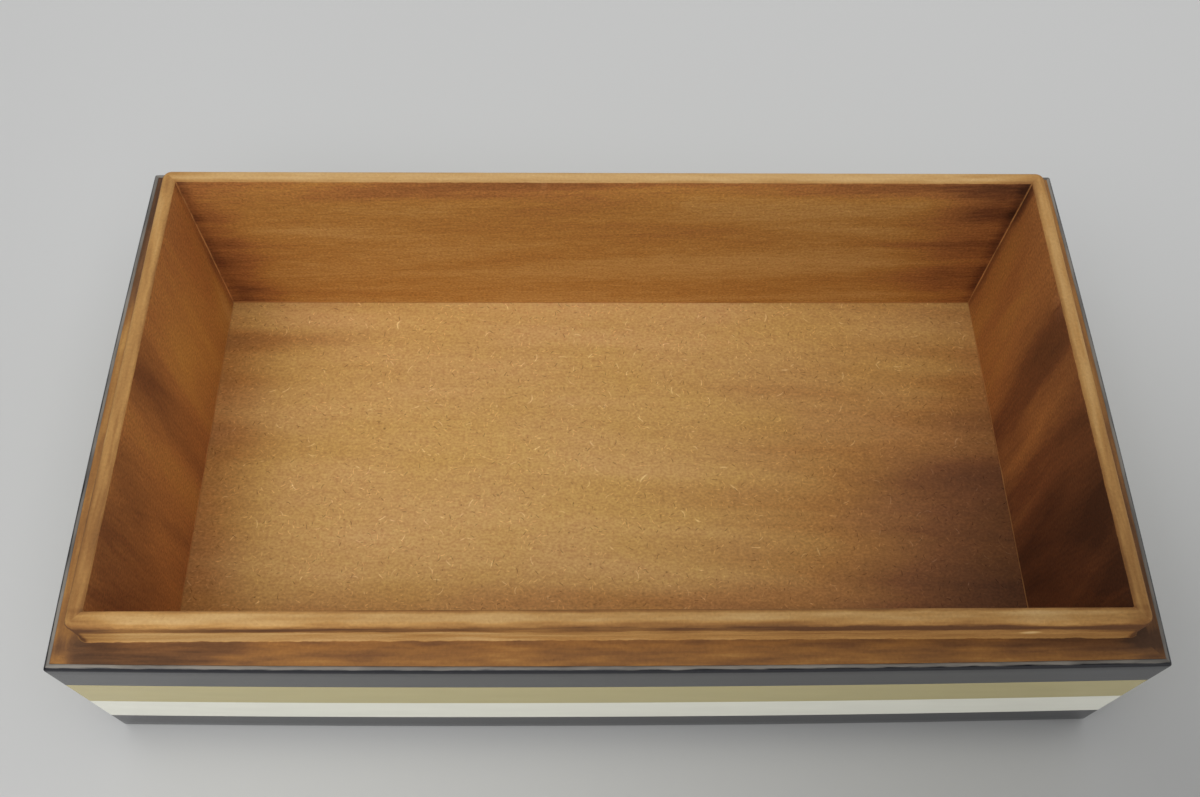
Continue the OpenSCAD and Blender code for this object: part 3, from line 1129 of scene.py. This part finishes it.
def cast_resin(name, hex_value, roughness=0.14, powder=0.0, sanded=None):
    """Resin with a cloudy colour and an uneven polish, and with a ground edge where sanded says."""
    material, tree, surface = new_material(name)
    place = board_place(tree)
    cloud = mottle(tree, place, 22, 5, detail=3)
    shade = add(tree, "MapRange", {"Value": cloud, "To Min": 0.92, "To Max": 1.08})
    body = add(tree, "Mix", {0: 1.0, 6: colour(hex_value), 7: shade}, out=2, data_type="RGBA",
               blend_type="MULTIPLY")
    rough = add(tree, "MapRange", {"Value": mottle(tree, place, 9, 3), "To Min": roughness - 0.05,
                                   "To Max": roughness + 0.07})
    if sanded:
        ground = ground_edge(tree, place, *sanded)
        body = add(tree, "Mix", {0: ground, 6: body, 7: colour(GROUND_RESIN)}, out=2, data_type="RGBA")
        rough = add(tree, "Mix", {0: ground, 2: rough, 3: GROUND_ROUGHNESS})
    tree.links.new(body, surface.inputs["Base Color"])
    tree.links.new(rough, surface.inputs["Roughness"])
    surface.inputs["IOR"].default_value = RESIN_IOR
    surface.inputs["Metallic"].default_value = powder
    return material


mirrored_share = ((RESIN_IOR - 1) / (RESIN_IOR + 1)) ** 2
print("polished resin mirrors", f"{mirrored_share:.0%}", "of the light that meets it squarely")

# %% [markdown]
# ## The four bands
#
# One function makes all four, so that they share their cloudiness and their polish. The
# two black strips differ by a shade, as two castings do, and in the ground edge, which
# begins on the rounding just before the flat top of the upper one and runs up to the
# board. The ivory one is a warm white.

# %% Materials: cast resin
top_section = strip_rings["top_strip"]
on_flat_top = [r["depth"] >= top_edge_r for r in top_section].index(True)
flat_start = section_lengths(top_section)[on_flat_top] / MM
flat_end = flat_start + (strip_t - top_edge_r) / MM
ground_band = (flat_start - 0.55, flat_end + 1)
resins = {
    "base_strip": cast_resin("cast_black_resin", "#1A1A1E"),
    "ivory_strip": cast_resin("cast_ivory_resin", "#E8E7D8"),
    "gold_strip": cast_resin("cast_gold_resin", "#BFB175", roughness=0.2, powder=0.3),
    "top_strip": cast_resin("cast_black_resin_sanded", "#1D1D22", sanded=ground_band),
}
print("resins:", [m.name for m in resins.values()], "ground over", [round(v, 2) for v in ground_band])

# %% [markdown]
# ## Make the pieces
#
# Four walls and sixteen strips are made, each in place of its CAD solid. The solid could
# be bevelled instead, but it has no points to wear and no board map. A piece rides on
# the box's only body, hides the CAD solid it stands for, and carries its finish.

# %% Walls and strips
STEP = 1 * MM
SHARP_FROM = math.radians(40)


def dressed(name, node, mesh, material):
    """A finished piece that stands for a CAD node."""
    data = bpy.data.meshes.new(name)
    mesh.to_mesh(data)
    mesh.free()
    data.shade_smooth()
    data.set_sharp_from_angle(angle=SHARP_FROM)
    data.materials.append(material)
    piece = bpy.data.objects.new(name, data)
    bpy.context.scene.collection.objects.link(piece)
    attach(piece, "root")
    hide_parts(node)


for side in SIDES:
    wall = sweep(side, wall_section, STEP)
    dressed(f"stained_wall_{side}", f"wall_{side}", wall, wall_boards[side])
    for band in BANDS:
        strip = sweep(side, strip_rings[band], STEP)
        dressed(f"polished_{band}_{side}", f"{band}_{side}", strip, resins[band])

# %% [markdown]
# ## The table and the room
#
# A pale matt table and a dim, even sky, as in a white room on a dull day. They give
# soft shadows from all sides and something pale for the resin to mirror. A studio bends
# its backdrop up behind the object, but here the camera looks down and meets only the
# table, so a flat one is enough.

# %% Table and room
TABLE_HALF = 3.0
TABLE_COLOUR = "#D3D3D2"
TABLE_ROUGHNESS = 0.9
SKY_COLOUR = "#D8D9DA"
SKY_STRENGTH = 0.77

table_material, _, table_surface = new_material("white_table")
table_surface.inputs["Base Color"].default_value = colour(TABLE_COLOUR)
table_surface.inputs["Roughness"].default_value = TABLE_ROUGHNESS

table_data = bpy.data.meshes.new("table_top")
table_corners = [(x * TABLE_HALF, y * TABLE_HALF, 0) for x, y in ((-1, -1), (1, -1), (1, 1), (-1, 1))]
table_data.from_pydata(table_corners, [], [(0, 1, 2, 3)])
table_data.materials.append(table_material)
table_top = bpy.data.objects.new("table_top", table_data)
bpy.context.scene.collection.objects.link(table_top)

world = bpy.data.worlds.new("room")
bpy.context.scene.world = world
world.use_nodes = True
sky = world.node_tree.nodes["Background"]
sky.inputs["Color"].default_value = colour(SKY_COLOUR)
sky.inputs["Strength"].default_value = SKY_STRENGTH
print("the table is", 2 * TABLE_HALF, "m wide")

# %% [markdown]
# ## Two soft lamps
#
# A large lamp above gives the box its shape. A long low one in front fills the front
# faces. Left to itself the low one would lay a bright patch on the table and a hard line
# on the glossy strips, so it lights only the box, and gloss doesn't mirror it.

# %% Lamps
def area_lamp(name, place, size, power, mirrored=True):
    """A soft lamp, as wide and as high as size says, that looks at the box. Gloss may mirror it."""
    lamp = bpy.data.lights.new(name, "AREA")
    lamp.shape = "RECTANGLE"
    lamp.size, lamp.size_y = size
    lamp.energy = power
    lamp_object = bpy.data.objects.new(name, lamp)
    lamp_object.location = place
    lamp_object.visible_glossy = mirrored
    towards = Vector((0, 0, shoulder_z / 2)) - Vector(place)
    lamp_object.rotation_euler = towards.to_track_quat("-Z", "Y").to_euler()
    bpy.context.scene.collection.objects.link(lamp_object)
    return lamp_object


area_lamp("lamp_above", place=(-0.07, -0.28, 0.85), size=(1.2, 0.9), power=5.2)
lamp_front = area_lamp("lamp_front", place=(-0.08, -1.0, 0.08), size=(0.8, 0.14), power=3.0,
                       mirrored=False)
box_only = bpy.data.collections.new("lit_by_lamp_front")
for piece in bpy.context.scene.objects:
    if piece.type == "MESH" and piece is not table_top:
        box_only.objects.link(piece)
lamp_front.light_linking.receiver_collection = box_only

# %% [markdown]
# ## Two dark cards
#
# A studio is never white all round: someone stands at the table, and a screen stands
# beside it. Two dark cloths take their places, out of view. They dim the table a little
# near them, and the black resin mirrors them.

# %% Dark cards
CLOTH_COLOUR = "#2A2A2C"
ONLOOKER = ((0.02, -0.33, 0.22), (0.32, -0.33, 0.22), (0.32, -0.07, 0.22), (0.02, -0.07, 0.22))
SCREEN = ((-0.37, -0.5, 0.01), (-0.37, 0.12, 0.01), (-0.37, 0.12, 0.3), (-0.37, -0.5, 0.3))

cloth, _, cloth_surface = new_material("dark_cloth")
cloth_surface.inputs["Base Color"].default_value = colour(CLOTH_COLOUR)


def dark_card(name, corners):
    """A dark cloth that keeps light from the table and is not seen itself."""
    data = bpy.data.meshes.new(name)
    data.from_pydata([Vector(c) for c in corners], [], [(0, 1, 2, 3)])
    data.materials.append(cloth)
    card = bpy.data.objects.new(name, data)
    card.visible_camera = False
    bpy.context.scene.collection.objects.link(card)
    return card


cards = [dark_card("onlooker", ONLOOKER), dark_card("screen", SCREEN)]
print("dark cards:", [card.name for card in cards])

# %% [markdown]
# ## The camera
#
# The camera stands where a person looks down into the box from its front, a little to
# the left of its middle, and is held a degree or two off level, as a hand holds it. Its
# place and the point it looks at are given in millimetres from the box's origin. It has
# no blur of depth and no shift, so other views of the box stay as true as this one.

# %% Camera
CAMERA_AT = Vector((-7.0, -139.8, 305.8)) * MM
LOOK_AT = Vector((-1.75, 10.1, 31.25)) * MM
CAMERA_ROLL = math.radians(1.72)
SENSOR_WIDTH_MM = 36.0
LENS_MM = 34.17
NEAREST_SEEN = 10 * MM

camera_data = bpy.data.cameras.new("camera")
camera_data.sensor_width = SENSOR_WIDTH_MM
camera_data.lens = LENS_MM
camera_data.clip_start = NEAREST_SEEN
camera = bpy.data.objects.new("camera", camera_data)
aim = (LOOK_AT - CAMERA_AT).to_track_quat("-Z", "Y").to_matrix().to_4x4()
camera.matrix_world = Matrix.Translation(CAMERA_AT) @ aim @ Matrix.Rotation(CAMERA_ROLL, 4, "Z")
bpy.context.scene.collection.objects.link(camera)
bpy.context.scene.camera = camera
bpy.context.scene.view_settings.view_transform = "Standard"
print("the camera is", round(CAMERA_AT.z / MM), "mm above the table")

# %% [markdown]
# ## Last step
#
# The view layer is updated once more.

# %% Finish
bpy.context.view_layer.update()
